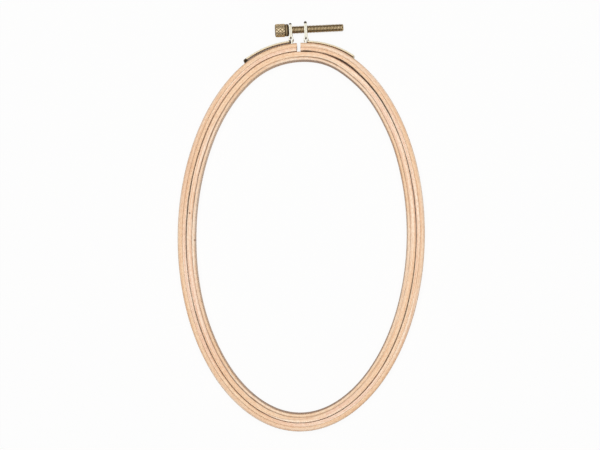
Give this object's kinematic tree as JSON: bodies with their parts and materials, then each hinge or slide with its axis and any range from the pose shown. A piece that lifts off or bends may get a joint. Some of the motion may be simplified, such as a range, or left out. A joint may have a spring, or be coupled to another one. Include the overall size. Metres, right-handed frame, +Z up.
{
  "type": "embroidery hoop",
  "caption": "Oval embroidery hoop: a bent-wood inner ring in a split outer ring, closed round the fabric by a brass bracket clamp and knurled screw.",
  "frame": {"origin": "middle of the whole hoop's footprint, clamp included, on the face that it lies on", "axes": "+Z up through the oval, across the fabric; +Y along the oval, towards the clamp; +X to the side that the screw's tip points to"},
  "size_m": [0.136, 0.2254, 0.0095],
  "materials": {
    "beech": "fine-sanded bare beech, sawn edges to the top and bottom faces",
    "beech_edge": "fine-sanded bare beech, rounded edges",
    "brass": "bright, lightly tarnished"
  },
  "bodies": {
    "right_half": {"outer_ring_right_inner_ply": "beech", "outer_ring_right_outer_ply": "beech_edge", "right_bracket": "brass"},
    "left_half": {"outer_ring_left_inner_ply": "beech", "outer_ring_left_outer_ply": "beech_edge", "left_bracket": "brass"},
    "inner_ring": {"inner_ring_inner_ply": "beech_edge", "inner_ring_outer_ply": "beech"},
    "screw": {"clamp_screw": "brass", "screw_knob": "brass"}
  },
  "joints": [
    {"name": "ring_open", "type": "hinge", "parent": "right_half", "child": "left_half", "pos_m": [0.01678, -0.1068, 0.00475], "axis": [0, 0, 1], "range_deg": [0, 1.58]},
    {"name": "screw_turn", "type": "hinge", "parent": "left_half", "child": "screw", "pos_m": [-0.00316, 0.10855, 0.00475], "axis": [-0.9982, -0.0593, 0], "range_deg": [0, 2700]},
    {"name": "inner_ring_lift", "type": "slide", "parent": "right_half", "child": "inner_ring", "axis": [0, 0, 1], "range_m": [0, 0.015]}
  ],
  "couplings": [
    {"joint": "screw_turn", "follows": "ring_open", "ratio": 1710.5}
  ]
}
